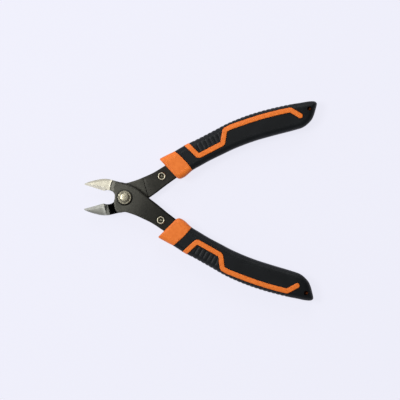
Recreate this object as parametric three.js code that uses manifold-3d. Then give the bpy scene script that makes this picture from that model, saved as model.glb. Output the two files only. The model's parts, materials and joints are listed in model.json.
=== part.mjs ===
// Diagonal cutting pliers, 127 mm long when closed, lying flat with the handles open.
//
// Both halves are one design: the front half is the rear half turned over about the tool's
// long axis. Every outline below is drawn for the rear half with the tool closed: the pivot is
// the origin, +X runs to the handle ends, +Y points away from the other handle, +Z is the side
// that faces the other half's lap, and Z = 0 is the plane where the two laps meet.

import * as THREE from 'three';
import { mergeVertices } from 'three/addons/utils/BufferGeometryUtils.js';
import Module from 'manifold-3d';

const wasm = await Module();
wasm.setup();

// ---- driving dimensions, in millimetres and degrees ----

const HALF_OPENING = 16.5;          // each handle's angle from the long axis at rest
const GAP = 0.3;                    // clearance between pieces that are fitted together
const FACE_GAP = 0.2;               // clearance between flat faces that lie on each other
const BEYOND = 1;                   // how far a cutting shape runs past the surface it cuts
const REACH = 90;                   // size of a cutting shape that has no other limit

const LAP_OUTER = 2.8;              // outer face of a lever's plate, from the mating plane
const LAP_INNER = FACE_GAP / 2;     // mating face of a lever's plate
const JAW_TIP = -21.2;
const JAW_HEEL = -11;
const JAW_ROOT = -9.2;              // where the jaw stands up from the lap
const ROOT_SHELF = [-10.4, 1.1];    // back corner of the narrow shelf at the jaw's root
const ROOT_SHELF_FRONT = 0.75;      // height of the shelf's front edge
const JAW_FACE = [-10.95, 2.15];    // where the jaw's inner face ends above the shelf
const JAW_TIP_HALF = 1.0;           // half thickness of the jaw at its tip
const JAW_ROOT_HALF = 2.4;
const SHOULDER_START = -8.3;        // the outer face slopes from the jaw's thickness
const SHOULDER_END = -6.8;          // out to the lap's
const EDGE_CLEARANCE = 0.05;        // each cutting edge stops this far short of the other
const BEVEL_ANGLE = 48;             // of each cutting bevel, from the lap plane
const BEVEL_RUN_OUT = 0.7;          // how far the bevels carry on past the cutting edge
const SEAM = 11.3;                  // front edge of the let-in tang plate
const TANG_PLATE_THICKNESS = 1.1;

const PIVOT_HOLE_R = 2.1;
const PIVOT_SHANK_R = 2.0;
const PIVOT_HEAD_R = 3.35;
const PIVOT_FLANGE_TOP = 3.2;
const PIVOT_CROWN_R = 2.4;
const PIVOT_CROWN_TOP = 3.75;
const PIVOT_TAIL_R = 3.1;
const PIVOT_TAIL_TOP = 3.55;
const HEAD_SEAT_R = 4.1;
const HEAD_SEAT_DEPTH = 0.3;

const SHANK_RIVET = [20.65, 5.35];
const SHANK_RIVET_R = 1.6;
const SHANK_RIVET_HOLE_R = 1.75;
const SHANK_RIVET_FLANGE_R = 2.0;
const SHANK_RIVET_BORE_R = 1.3;

const SPRING_WIRE_R = 0.45;
const SPRING_MEAN_R = 3.5;
const SPRING_RISE = 0.77;           // height of each leg above or below the mating plane
const SPRING_LEG_LENGTH = 6.2;
const SPRING_LEG_START = 55;        // where the rear leg leaves the coil
const SPRING_POCKET_DEPTH = 1.4;
const SPRING_HOOK_DEPTH = 1.9;
const SPRING_BEND_R = 0.6;          // of the bend between each leg and its hook
const COIL_STEPS = 26;
const SPRING_STEPS = 56;

const GRIP_HALF_THICKNESS = 5.3;
const GRIP_EDGE_R = 2.8;
const SLEEVE_INSET = 1.4;           // from the grip's outer skin to the core's sleeve
const STRIPE_HALF_WIDTH = 1.25;
const GRIP_HOLE = [100.5, 18.1];
const GRIP_HOLE_R = 1.1;

const ROUND = 32;                   // sides of a round feature
const CORNER_POINTS = 4;            // points round each corner of a grip section
const STATIONS_PER_RING = 1.5;      // sections made for each length between two grip rings

// ---- solids ----

function toSolid(geometry) {
  const bare = geometry.clone();
  bare.deleteAttribute('normal');
  bare.deleteAttribute('uv');
  const merged = mergeVertices(bare, 1e-4);
  const vertProperties = Float32Array.from(merged.attributes.position.array);
  const triVerts = Uint32Array.from(merged.index.array);
  return new wasm.Manifold(new wasm.Mesh({ numProp: 3, vertProperties, triVerts }));
}

function toGeometry(solid) {
  const mesh = solid.getMesh();
  const geometry = new THREE.BufferGeometry();
  geometry.setAttribute('position', new THREE.BufferAttribute(mesh.vertProperties.slice(), 3));
  geometry.setIndex(new THREE.BufferAttribute(mesh.triVerts.slice(), 1));
  geometry.computeVertexNormals();
  return geometry;
}

function points(pairs) {
  return pairs.map(([x, y]) => new THREE.Vector2(x, y));
}

// A plan outline raised from one height to another.
function slab(shape, low, high, curveSegments = 4) {
  const options = { depth: high - low, bevelEnabled: false, curveSegments };
  const geometry = new THREE.ExtrudeGeometry(shape, options);
  geometry.translate(0, 0, low);
  return toSolid(geometry);
}

// A side outline in X and Z, carried along Y from one side to the other.
function sideSlab(shape, near, far) {
  const geometry = new THREE.ExtrudeGeometry(shape, { depth: far - near, bevelEnabled: false });
  geometry.rotateX(Math.PI / 2);
  geometry.translate(0, far, 0);
  return toSolid(geometry);
}

// A section in Y and Z, carried along X.
function barAlongX(shape, start, end) {
  const geometry = new THREE.ExtrudeGeometry(shape, { depth: end - start, bevelEnabled: false });
  geometry.rotateX(Math.PI / 2);
  geometry.rotateZ(Math.PI / 2);
  geometry.translate(start, 0, 0);
  return toSolid(geometry);
}

function disc(x, y, radius, low, high, sides = ROUND) {
  const geometry = new THREE.CylinderGeometry(radius, radius, high - low, sides);
  geometry.rotateX(Math.PI / 2);
  geometry.translate(x, y, (low + high) / 2);
  return toSolid(geometry);
}

function throughHole(x, y, radius) {
  return disc(x, y, radius, -REACH, REACH);
}

// A turned part about a line along Z: each profile point is [radius, height].
function turned(profile, sides) {
  const geometry = new THREE.LatheGeometry(points(profile), sides);
  geometry.rotateX(Math.PI / 2);
  return geometry;
}

function rotated([x, y], degrees) {
  const angle = THREE.MathUtils.degToRad(degrees);
  return [x * Math.cos(angle) - y * Math.sin(angle), x * Math.sin(angle) + y * Math.cos(angle)];
}

// ---- lever ----

// The tang's middle line inside the grip, and its half width along that line.
const TANG_LINE = new THREE.SplineCurve(points([
  [20, 4.45], [25, 6.1], [40, 11.1], [55, 14.7], [68, 16.3],
]));
const TANG_HALF_WIDTH = [4.3, 3.0];
const TANG_STEPS = 12;
const TANG_SLOT_END_R = 2;          // room left at the end of the slot that takes the tang

// One edge of the tang, or of a pocket that clears it by the given margin.
function tangEdge(side, margin) {
  const edge = [];
  for (let step = 0; step <= TANG_STEPS; step += 1) {
    const t = step / TANG_STEPS;
    const middle = TANG_LINE.getPointAt(t);
    const along = TANG_LINE.getTangentAt(t);
    const offset = side * (THREE.MathUtils.lerp(...TANG_HALF_WIDTH, t) + margin);
    edge.push(new THREE.Vector2(middle.x - offset * along.y, middle.y + offset * along.x));
  }
  return edge;
}

function leverOutline() {
  const shape = new THREE.Shape();
  shape.moveTo(JAW_TIP, -EDGE_CLEARANCE);
  shape.splineThru(points([
    [-21.1, -0.6], [-20, -1.6], [-18, -3.0], [-16, -4.2], [-14, -5.25], [-12, -6.0], [-10, -6.4], [-6, -6.55],
    [-3, -6.75], [0, -6.9], [4, -6.3], [8, -4.9], [12, -3.3], [16, -1.85], [18.7, -0.75],
  ]));
  const inner = tangEdge(-1, 0).slice(1);
  inner.forEach((point) => shape.lineTo(point.x, point.y));
  const outer = tangEdge(1, 0).reverse().slice(0, -1);
  outer.forEach((point) => shape.lineTo(point.x, point.y));
  shape.splineThru(points([[16, 7.93], [12, 7.35], [8, 6.87], [3.5, 6.75], [2, 7.0], [0.8, 7.65]]));
  shape.lineTo(-1.2, 8.2);
  shape.splineThru(points([[-2.9, 6.8], [-4.4, 4], [-4.6, 2], [-5.2, -EDGE_CLEARANCE]]));
  shape.splineThru(points([[-6.4, -0.9], [-8, -1.15], [-9.6, -0.85], [JAW_HEEL, -EDGE_CLEARANCE]]));
  return shape;
}

// The lever seen from the side: tapered jaw, thin lap, and the step that takes the tang plate.
function leverSide() {
  const seat = -LAP_INNER - TANG_PLATE_THICKNESS - FACE_GAP;
  return new THREE.Shape(points([
    [JAW_TIP - BEYOND, -JAW_TIP_HALF],
    [SHOULDER_START, -JAW_ROOT_HALF],
    [SHOULDER_END, -LAP_OUTER],
    [REACH, -LAP_OUTER],
    [REACH, seat],
    [SEAM - GAP / 2, seat],
    [SEAM - GAP / 2, -LAP_INNER],
    [JAW_ROOT, -LAP_INNER],
    [JAW_ROOT - FACE_GAP / 2, ROOT_SHELF_FRONT],
    ROOT_SHELF,
    JAW_FACE,
    [JAW_TIP - BEYOND, JAW_TIP_HALF],
  ]));
}

// The two wedges that grind the cutting edge down to the middle of the jaw's thickness.
function bevelCutter() {
  const rise = JAW_ROOT_HALF + BEYOND;
  const run = rise / Math.tan(THREE.MathUtils.degToRad(BEVEL_ANGLE));
  const wedge = (side) => {
    const section = new THREE.Shape(points([
      [-EDGE_CLEARANCE, 0],
      [BEYOND, 0],
      [BEYOND, side * rise],
      [-EDGE_CLEARANCE - run, side * rise],
    ]));
    return barAlongX(section, JAW_TIP - BEYOND, JAW_HEEL + BEVEL_RUN_OUT);
  };
  return wedge(1).add(wedge(-1));
}

// The rear leg's straight run, from the coil to its hook, in the rear lever's own frame.
function springLeg() {
  const start = rotated([SPRING_MEAN_R, 0], SPRING_LEG_START);
  const end = rotated([SPRING_MEAN_R, -SPRING_LEG_LENGTH], SPRING_LEG_START);
  return { start, end };
}

function springPocket() {
  const outerR = SPRING_MEAN_R + SPRING_WIRE_R + GAP;
  const innerR = SPRING_MEAN_R - SPRING_WIRE_R - GAP;
  const ring = disc(0, 0, outerR, -SPRING_POCKET_DEPTH, 0).subtract(throughHole(0, 0, innerR));
  const half = SPRING_WIRE_R + GAP;
  const groove = new THREE.BoxGeometry(2 * half, SPRING_LEG_LENGTH, SPRING_POCKET_DEPTH);
  groove.translate(SPRING_MEAN_R, -SPRING_LEG_LENGTH / 2, -SPRING_POCKET_DEPTH / 2);
  groove.rotateZ(THREE.MathUtils.degToRad(SPRING_LEG_START));
  const [x, y] = springLeg().end;
  return ring.add(toSolid(groove)).add(disc(x, y, half, -SPRING_HOOK_DEPTH - GAP, 0));
}

function leverSolid() {
  const plate = slab(leverOutline(), -LAP_OUTER - BEYOND, LAP_OUTER + BEYOND);
  const blank = plate.intersect(sideSlab(leverSide(), -REACH, REACH));
  const holes = throughHole(0, 0, PIVOT_HOLE_R)
    .add(disc(0, 0, HEAD_SEAT_R, -LAP_OUTER - BEYOND, -LAP_OUTER + HEAD_SEAT_DEPTH))
    .add(throughHole(...SHANK_RIVET, SHANK_RIVET_HOLE_R));
  return blank.subtract(bevelCutter()).subtract(holes).subtract(springPocket());
}

function tangPlateSolid() {
  const beyondSeam = new THREE.BoxGeometry(REACH, REACH, REACH);
  beyondSeam.translate(SEAM + GAP / 2 + REACH / 2, 0, 0);
  return slab(leverOutline(), -LAP_INNER - TANG_PLATE_THICKNESS, -LAP_INNER)
    .intersect(toSolid(beyondSeam))
    .subtract(throughHole(...SHANK_RIVET, SHANK_RIVET_HOLE_R));
}

// ---- rivets and spring ----

// The head is a flat flange with a raised crown; the tail is a plain button.
function pivotRivetGeometry() {
  const seat = LAP_OUTER - HEAD_SEAT_DEPTH + FACE_GAP / 2;
  const rim = 0.15;
  const tailBevel = 0.6;
  return turned([
    [0, -PIVOT_TAIL_TOP], [PIVOT_TAIL_R - tailBevel, -PIVOT_TAIL_TOP],
    [PIVOT_TAIL_R, -PIVOT_TAIL_TOP + tailBevel], [PIVOT_TAIL_R, -seat],
    [PIVOT_SHANK_R, -seat], [PIVOT_SHANK_R, seat],
    [PIVOT_HEAD_R, seat], [PIVOT_HEAD_R, PIVOT_FLANGE_TOP - rim],
    [PIVOT_HEAD_R - rim, PIVOT_FLANGE_TOP], [PIVOT_CROWN_R, PIVOT_FLANGE_TOP],
    [PIVOT_CROWN_R - 2 * rim, PIVOT_CROWN_TOP - 2 * rim],
    [PIVOT_CROWN_R - 6 * rim, PIVOT_CROWN_TOP - rim / 2], [0, PIVOT_CROWN_TOP],
  ], ROUND);
}

// A hollow rivet with a rolled rim on both faces and a small point left in each dish.
function shankRivetGeometry() {
  const clearance = 0.15;
  const rim = 0.35;
  const dish = 0.9;
  const pointR = 0.35;
  const pointHeight = 0.25;
  const floorR = SHANK_RIVET_BORE_R - 0.2;
  const rimR = SHANK_RIVET_FLANGE_R - 0.1;
  const top = -LAP_INNER + clearance;
  const bottom = -LAP_OUTER - clearance;
  const lowerRim = bottom - rim;
  const upperRim = top + rim;
  const geometry = turned([
    [0, lowerRim + dish - pointHeight], [pointR, lowerRim + dish], [floorR, lowerRim + dish],
    [SHANK_RIVET_BORE_R, lowerRim], [rimR, lowerRim], [SHANK_RIVET_FLANGE_R, bottom],
    [SHANK_RIVET_R, bottom], [SHANK_RIVET_R, top],
    [SHANK_RIVET_FLANGE_R, top], [rimR, upperRim], [SHANK_RIVET_BORE_R, upperRim],
    [floorR, upperRim - dish], [pointR, upperRim - dish], [0, upperRim - dish + pointHeight],
  ], ROUND / 2);
  geometry.translate(...SHANK_RIVET, 0);
  return geometry;
}

// One wire: rear hook, rear leg, the coil round the rivet, front leg, front hook. The front
// half of the path is the rear half turned over about the tool's long axis.
function springGeometry() {
  const { start, end } = springLeg();
  const place = (fromHook, z) => {
    const t = fromHook / SPRING_LEG_LENGTH;
    const spot = [THREE.MathUtils.lerp(end[0], start[0], t), THREE.MathUtils.lerp(end[1], start[1], t)];
    return new THREE.Vector3(...rotated(spot, HALF_OPENING), z);
  };
  const bend = [0, Math.PI / 4, Math.PI / 2].map((angle) => place(
    SPRING_BEND_R * (1 - Math.cos(angle)),
    -SPRING_RISE - SPRING_BEND_R * (1 - Math.sin(angle)),
  ));
  const rear = [place(0, -SPRING_HOOK_DEPTH), ...bend, place(SPRING_LEG_LENGTH / 2, -SPRING_RISE)];
  const front = rear.map((point) => new THREE.Vector3(point.x, -point.y, -point.z)).reverse();
  const startAngle = SPRING_LEG_START + HALF_OPENING;
  const sweep = 720 - 2 * startAngle;
  const coil = [];
  for (let step = 0; step <= COIL_STEPS; step += 1) {
    const t = step / COIL_STEPS;
    const [x, y] = rotated([SPRING_MEAN_R, 0], startAngle + sweep * t);
    coil.push(new THREE.Vector3(x, y, THREE.MathUtils.lerp(-SPRING_RISE, SPRING_RISE, t)));
  }
  const path = new THREE.CatmullRomCurve3([...rear, ...coil, ...front], false, 'centripetal');
  const wire = new THREE.Shape().absarc(0, 0, SPRING_WIRE_R, 0, 2 * Math.PI);
  const options = { steps: SPRING_STEPS, curveSegments: 4, extrudePath: path, bevelEnabled: false };
  return new THREE.ExtrudeGeometry(wire, options);
}

// ---- grip ----

// Opposite points of the grip's outline, outer edge then inner edge, from the collar's slanted
// front face to the rounded end.
const GRIP_RINGS = [
  [[22.3, 14.0], [27.9, 2.2]],
  [[24.0, 14.4], [29.2, 1.6]],
  [[27.0, 15.0], [32.0, 2.1]],
  [[30.25, 15.6], [36.3, 4.1]],
  [[36.0, 17.1], [41.0, 5.3]],
  [[44.0, 18.7], [46.5, 6.6]],
  [[52.0, 20.4], [52.5, 7.7]],
  [[60.0, 22.1], [60.0, 9.0]],
  [[70.0, 23.2], [70.0, 9.9]],
  [[80.0, 23.4], [80.0, 10.0]],
  [[90.0, 22.95], [90.0, 9.85]],
  [[97.0, 22.2], [95.5, 10.1]],
  [[101.2, 21.8], [99.6, 12.0]],
  [[104.0, 21.1], [101.8, 14.2]],
  [[105.1, 20.0], [103.6, 17.0]],
];

// Positions along the grip, counted in rings from the collar's front face.
const COLLAR_END = 3;
const SKIN_START = 3.07;
const STRIPE_START = 3.2;
const SLEEVE_START = 2;
const SLEEVE_END = 12.8;
const SLEEVE_ROOM_END = 12.95;
const FULL_THICKNESS_END = 11;
const GRIP_END = GRIP_RINGS.length - 1;
const END_TAPER = 0.038;            // share of the thickness lost, times the rings past that point squared

const OUTER_EDGE = new THREE.SplineCurve(points(GRIP_RINGS.map((ring) => ring[0])));
const INNER_EDGE = new THREE.SplineCurve(points(GRIP_RINGS.map((ring) => ring[1])));

// A length of grip between two ring positions, its skin moved inwards by the inset. Each
// section is a rounded rectangle, so both broad faces are flat.
function gripLength(from, to, inset) {
  const sides = 4 * CORNER_POINTS;
  const stations = Math.ceil((to - from) * STATIONS_PER_RING);
  const flat = 0.05;
  const geometry = new THREE.CylinderGeometry(1, 1, 1, sides, stations);
  const position = geometry.attributes.position;
  const vertex = new THREE.Vector3();
  for (let index = 0; index < position.count; index += 1) {
    vertex.fromBufferAttribute(position, index);
    const ring = THREE.MathUtils.lerp(from, to, vertex.y + 0.5);
    const outer = OUTER_EDGE.getPoint(ring / GRIP_END);
    const inner = INNER_EDGE.getPoint(ring / GRIP_END);
    const middle = outer.clone().add(inner).multiplyScalar(0.5);
    const across = outer.clone().sub(inner).normalize();
    const taper = END_TAPER * Math.max(0, ring - FULL_THICKNESS_END) ** 2;
    const halfWidth = outer.distanceTo(inner) / 2 - inset;
    const halfHeight = GRIP_HALF_THICKNESS * (1 - taper) - inset;
    const radius = Math.min(GRIP_EDGE_R - inset / 2, halfWidth - flat, halfHeight - flat);
    const turn = Math.round((Math.atan2(vertex.x, vertex.z) / (2 * Math.PI)) * sides + sides) % sides;
    const corner = Math.floor(turn / CORNER_POINTS);
    const angle = ((corner + (turn % CORNER_POINTS) / (CORNER_POINTS - 1)) * Math.PI) / 2;
    const signY = corner === 0 || corner === 3 ? 1 : -1;
    const signZ = corner < 2 ? 1 : -1;
    const onAxis = Math.hypot(vertex.x, vertex.z) < 0.5;
    const u = onAxis ? 0 : signY * (halfWidth - radius) + radius * Math.cos(angle);
    const w = onAxis ? 0 : signZ * (halfHeight - radius) + radius * Math.sin(angle);
    position.setXYZ(index, middle.x + u * across.x, middle.y + u * across.y, w);
  }
  return toSolid(geometry);
}

// The raised stripe's middle line: a leg down from the outer edge, a run under the thumb pad,
// a rise, the long sweep along the back, and the short tail.
const STRIPE_LINE = points([
  [36.2, 18.4], [41.0, 10.05], [54.25, 12.85], [57.1, 19.0], [60, 19.65],
  [70, 20.3], [80, 20.5], [91.2, 20.0], [95.15, 15.85],
]);

// A bar that runs along the stripe's line, right through the grip, rounded outside its bends.
function stripeBar(halfWidth) {
  const reach = GRIP_HALF_THICKNESS + BEYOND;
  const bars = STRIPE_LINE.slice(1).map((end, index) => {
    const along = end.clone().sub(STRIPE_LINE[index]);
    const geometry = new THREE.BoxGeometry(along.length(), 2 * halfWidth, 2 * reach);
    geometry.rotateZ(along.angle());
    geometry.translate(end.x - along.x / 2, end.y - along.y / 2, 0);
    return toSolid(geometry).add(disc(end.x, end.y, halfWidth, -reach, reach, ROUND / 2));
  });
  return bars.reduce((whole, bar) => whole.add(bar));
}

function coreSolid() {
  const collar = gripLength(0, COLLAR_END, 0);
  const sleeve = gripLength(SLEEVE_START, SLEEVE_END, SLEEVE_INSET);
  const stripe = stripeBar(STRIPE_HALF_WIDTH).intersect(gripLength(STRIPE_START, GRIP_END, 0));
  const slot = new THREE.Shape([...tangEdge(-1, GAP), ...tangEdge(1, GAP).reverse()]);
  const slotEnd = TANG_LINE.getPointAt(1);
  const tangSlot = slab(slot, -LAP_OUTER - GAP, -LAP_INNER + GAP)
    .add(disc(slotEnd.x, slotEnd.y, TANG_SLOT_END_R, -LAP_OUTER - GAP, -LAP_INNER + GAP));
  return collar.add(sleeve).add(stripe).subtract(tangSlot);
}

function shellSolid() {
  const skin = gripLength(SKIN_START, GRIP_END, 0);
  const sleeveRoom = gripLength(SLEEVE_START, SLEEVE_ROOM_END, SLEEVE_INSET - GAP);
  const stripeRoom = stripeBar(STRIPE_HALF_WIDTH + GAP);
  return skin.subtract(sleeveRoom).subtract(stripeRoom).subtract(throughHole(...GRIP_HOLE, GRIP_HOLE_R));
}

// ---- materials ----

function finish(color, roughness, metalness) {
  return new THREE.MeshStandardMaterial({ color, roughness, metalness });
}

const blackened = () => finish(0x464640, 0.5, 0.8);
const bright = () => finish(0xb8b4a4, 0.3, 1.0);

// ---- assembly ----

function piece(name, geometry, material) {
  const mesh = new THREE.Mesh(geometry, material);
  mesh.name = name;
  return mesh;
}

function half(side) {
  const group = new THREE.Group();
  group.add(piece(`${side}_lever`, toGeometry(leverSolid()), blackened()));
  group.add(piece(`${side}_tang_plate`, toGeometry(tangPlateSolid()), blackened()));
  group.add(piece(`${side}_shank_rivet`, shankRivetGeometry(), bright()));
  group.add(piece(`${side}_grip_core`, toGeometry(coreSolid()), finish(0xe87830, 0.45, 0)));
  group.add(piece(`${side}_grip_shell`, toGeometry(shellSolid()), finish(0x202427, 0.6, 0)));
  return group;
}

const opening = THREE.MathUtils.degToRad(HALF_OPENING);

const rearHalf = new THREE.Group();
rearHalf.add(half('rear'));
rearHalf.rotation.z = opening;

const frontHalf = new THREE.Group();
const turnedOver = half('front');
turnedOver.rotation.x = Math.PI;
frontHalf.add(turnedOver);
frontHalf.rotation.z = -opening;

const tool = new THREE.Group();
tool.add(rearHalf, frontHalf);
tool.add(piece('pivot_rivet', pivotRivetGeometry(), bright()));
tool.add(piece('return_spring', springGeometry(), finish(0x8a8c8e, 0.35, 1)));

// The origin is the middle of the footprint, on the surface that the grips lie on.
const box = new THREE.Box3().setFromObject(tool, true);
const centre = box.getCenter(new THREE.Vector3());
tool.position.set(-centre.x, -centre.y, -box.min.z);

const pliers = new THREE.Group();
pliers.add(tool);

export default pliers;
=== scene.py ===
import json
import math

import bpy
import numpy as np
from mathutils import Matrix, Vector
from mathutils.geometry import delaunay_2d_cdt


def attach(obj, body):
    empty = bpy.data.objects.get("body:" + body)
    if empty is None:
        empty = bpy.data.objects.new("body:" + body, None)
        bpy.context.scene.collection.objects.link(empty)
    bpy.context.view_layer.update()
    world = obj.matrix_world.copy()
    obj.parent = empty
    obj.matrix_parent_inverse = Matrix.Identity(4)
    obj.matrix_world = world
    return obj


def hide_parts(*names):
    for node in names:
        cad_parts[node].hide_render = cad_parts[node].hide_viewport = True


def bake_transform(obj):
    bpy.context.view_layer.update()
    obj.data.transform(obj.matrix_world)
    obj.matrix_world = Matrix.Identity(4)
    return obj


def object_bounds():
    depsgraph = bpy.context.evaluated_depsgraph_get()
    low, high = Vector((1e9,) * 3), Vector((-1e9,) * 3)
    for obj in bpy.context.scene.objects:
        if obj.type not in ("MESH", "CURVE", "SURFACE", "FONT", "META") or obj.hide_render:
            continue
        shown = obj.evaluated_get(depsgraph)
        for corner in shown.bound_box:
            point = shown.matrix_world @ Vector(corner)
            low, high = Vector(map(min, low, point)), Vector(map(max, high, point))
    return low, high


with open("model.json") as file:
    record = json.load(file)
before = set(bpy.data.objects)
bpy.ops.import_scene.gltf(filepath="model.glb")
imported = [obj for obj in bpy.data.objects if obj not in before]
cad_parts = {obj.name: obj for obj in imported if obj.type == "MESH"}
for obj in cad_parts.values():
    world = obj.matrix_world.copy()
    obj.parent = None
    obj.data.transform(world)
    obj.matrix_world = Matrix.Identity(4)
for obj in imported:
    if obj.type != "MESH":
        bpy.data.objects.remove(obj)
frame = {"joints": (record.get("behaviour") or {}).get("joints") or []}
cad_low, cad_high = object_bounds()

# Both halves of the tool are one design, and the front half is the rear half turned over about
# the long axis. Outlines are drawn for the rear half of the closed tool, in millimetres: the
# pivot is the origin, +X runs to the handle ends, +Y points away from the other handle, +Z
# faces the other half, and Z = 0 is the plane where the two laps meet.

# ---- driving dimensions, in millimetres and degrees ----

MM = 0.001
HALF_OPENING = 16.5
OUTLINE_STEP = 0.3         # spacing of the points along outlines and creases
LEVER_STEP = 0.35

LAP_OUTER = 2.8            # outer face of the lap
LAP_INNER = 0.1            # mating face of the lap
PLATE_EDGE_R = 0.45        # rounding of the plates' edges
HEAD_SEAT_R = 4.1
HEAD_SEAT_DEPTH = 0.3
PIVOT_HOLE_R = 2.1
POCKET_R = (2.75, 4.35)    # the spring's ring groove, inner and outer radius
POCKET_DEPTH = 1.3

JAW_TIP = -21.195
JAW_HEEL = -11.0
JAW_HALF_TIP = 1.0
JAW_HALF_ROOT = 2.4
JAW_BACK_R = 1.1           # rounding of the jaw's outer edge
CROWN_DROP = 0.9           # how far the jaw's inner face falls away towards its back
SHELF_HEIGHT = 1.15        # the step between the jaw's inner face and the neck
STEP_BENDS = (-0.25, 0.0, 0.2, 1.7)  # where the slopes beside the outer step change, past its line
STEP_HEIGHTS = (2.38, 2.1, 2.45, LAP_OUTER)  # the half thickness at each bend
EDGE_CLEARANCE = 0.05
EDGE_LAND = 0.03           # half thickness of the cutting edge itself
BEVEL_ANGLE = 48

SEAM = 11.3
SEAM_HALF_WIDTH = 0.13
TANG_PLATE_THICKNESS = 1.1
SHANK_RIVET = (20.65, 5.35)
SHANK_RIVET_HOLE_R = 1.75
SPRING_WIRE_R = 0.45
SPRING_MEAN_R = 3.5
SPRING_RISE = 0.77         # from the mating plane to each end of the coil

GRIP_HALF = 5.295          # half thickness over the collar and the raised stripe
GRIP_EDGE_R = 2.8
SHELL_SINK = 0.14          # the black skin lies this far under the stripe
COLLAR_EDGE_R = 2.5
COLLAR_CORNER_R = 0.8
STRIPE_HALF_WIDTH = 1.25
GROOVE_GAP = 0.13          # air between the raised stripe and the skin around it
GROOVE_DEPTH = 0.9
WALL_RAMP = 0.06           # plan width of a steep wall
RIB_PITCH = 2.27
RIB_DEPTH = 0.22
PAD_RIB_DEPTH = 0.13
GRIP_HOLE = (100.5, 18.1)
GRIP_HOLE_R = 1.1
GRIP_HOLE_DEPTH = 2.4
HOLE_SHADE = 0.75          # painted shade on the core at the bottom of the hole

# ---- outlines ----

JAW_BACK = [(JAW_TIP, -0.05), (-21.1, -0.6), (-20, -1.6), (-18, -3.0), (-16, -4.2), (-14, -5.25), (-12, -6.0),
            (-10, -6.4)]
LAP_LOWER = [(-10, -6.4), (-6, -6.55), (-3, -6.75), (0, -6.9), (4, -6.3), (8, -4.9), (12, -3.3), (16, -1.85),
             (18.7, -0.75)]
LAP_UPPER = [(18.6, 8.55), (16, 7.93), (12, 7.35), (8, 6.87), (3.5, 6.75), (2, 7.0), (0.8, 7.65), (-0.6, 8.2)]
EAR = [(-1.2, 8.2), (-2.9, 6.8), (-4.4, 4), (-4.6, 2), (-5.2, -0.05)]
THROAT = [(-5.2, -0.05), (-6.4, -0.9), (-8, -1.15), (-9.6, -0.85), (JAW_HEEL, -0.05)]

TANG_LINE = [(20, 4.45), (25, 6.1), (40, 11.1), (55, 14.7), (68, 16.3)]
TANG_HALF_WIDTH = (4.3, 3.0)

GRIP_OUTER = [(21.75, 13.95), (24, 14.4), (27, 15.0), (30.25, 15.6), (36, 17.1), (44, 18.7), (52, 20.4),
              (60, 22.1), (70, 23.2), (80, 23.4), (90, 22.95), (97, 22.2), (101.2, 21.79), (104, 21.09)]
GRIP_NOSE = [(104.95, 20.0), (104.7, 18.9), (103.6, 17.0)]
GRIP_INNER = [(101.8, 14.2), (99.6, 12), (95.5, 10.1), (90, 9.85), (80, 10), (70, 9.9), (60, 9), (52.5, 7.7),
              (46.5, 6.6), (41, 5.3), (36.3, 4.1), (32, 2.1), (29.2, 1.6), (27.9, 2.2)]
COLLAR_POINTS = 4          # how many points of each grip edge belong to the collar
COLLAR_BOW = 0.5
COLLAR_GAP = (0.115, 0.15)  # the seam groove beside the collar: where its floor and its wall end

THUMB_PAD = [(38.5, 19), (42, 11), (54, 14), (56.5, 20), (58, 23)]
STRIPE_LINE = [(36.2, 18.4), (41.0, 10.05), (54.25, 12.85), (57.1, 19.0), (60, 19.65), (65, 20.0), (70, 20.3),
               (75, 20.5), (80, 20.5), (85.6, 20.35), (91.2, 20.0), (95.15, 15.85)]


def smooth(points, per=10):
    """A dense line that runs smoothly through the points."""
    p = np.asarray(points, float)
    ends = np.vstack([2 * p[0] - p[1], p, 2 * p[-1] - p[-2]])
    t = np.linspace(0, 1, per, endpoint=False)[:, None]
    parts = []
    for a, b, c, d in zip(ends, ends[1:], ends[2:], ends[3:]):
        square = (2 * a - 5 * b + 4 * c - d) * t**2
        cube = (3 * b - a - 3 * c + d) * t**3
        parts.append(0.5 * (2 * b + (c - a) * t + square + cube))
    return np.vstack([*parts, p[-1:]])


def resample(line, step):
    """The same line with its points an even step apart."""
    line = np.asarray(line, float)
    run = np.concatenate([[0], np.cumsum(np.linalg.norm(np.diff(line, axis=0), axis=1))])
    wanted = np.linspace(0, run[-1], max(int(round(run[-1] / step)), 1) + 1)
    return np.column_stack([np.interp(wanted, run, line[:, k]) for k in range(line.shape[1])])


def subdivided(line, step):
    """The same line with its long spans split, keeping every corner."""
    parts = []
    for a, b in zip(line, line[1:]):
        parts.append(np.linspace(a, b, max(int(round(np.linalg.norm(b - a) / step)), 1), endpoint=False))
    return np.vstack([*parts, line[-1:]])


def loop_of(step, *stretches):
    """One closed outline from stretches that meet end to end, keeping the corners between them."""
    return np.vstack([resample(stretch, step)[:-1] for stretch in stretches])


def circle(centre, radius, count=48):
    angle = np.linspace(0, 2 * np.pi, count, endpoint=False)
    return np.column_stack([centre[0] + radius * np.cos(angle), centre[1] + radius * np.sin(angle)])


def closed(loop):
    return np.vstack([loop, loop[:1]])


def turned_ccw(loop):
    x, y = loop.T
    area = np.sum(x * np.roll(y, -1) - y * np.roll(x, -1))
    return loop if area > 0 else loop[::-1]


def nearest(points, line):
    """Each point's distance to a line, how far along the line it lies, and the line's left-hand normal."""
    a, b = line[:-1], line[1:]
    along = b - a
    length = np.linalg.norm(along, axis=1)
    start = np.concatenate([[0], np.cumsum(length)[:-1]])
    distance = np.empty(len(points))
    run = np.empty(len(points))
    side = np.empty((len(points), 2))
    for low in range(0, len(points), 1500):
        p = points[low:low + 1500, None]
        t = np.clip(((p - a) * along).sum(2) / length**2, 0, 1)
        gap = np.linalg.norm(p - (a + t[..., None] * along), axis=2)
        best = gap.argmin(1)
        rows = np.arange(len(best))
        distance[low:low + 1500] = gap[rows, best]
        run[low:low + 1500] = start[best] + t[rows, best] * length[best]
        unit = along[best] / length[best, None]
        side[low:low + 1500] = np.column_stack([-unit[:, 1], unit[:, 0]])
    return distance, run, side


def distance_to(points, line):
    return nearest(points, line)[0]


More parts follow.
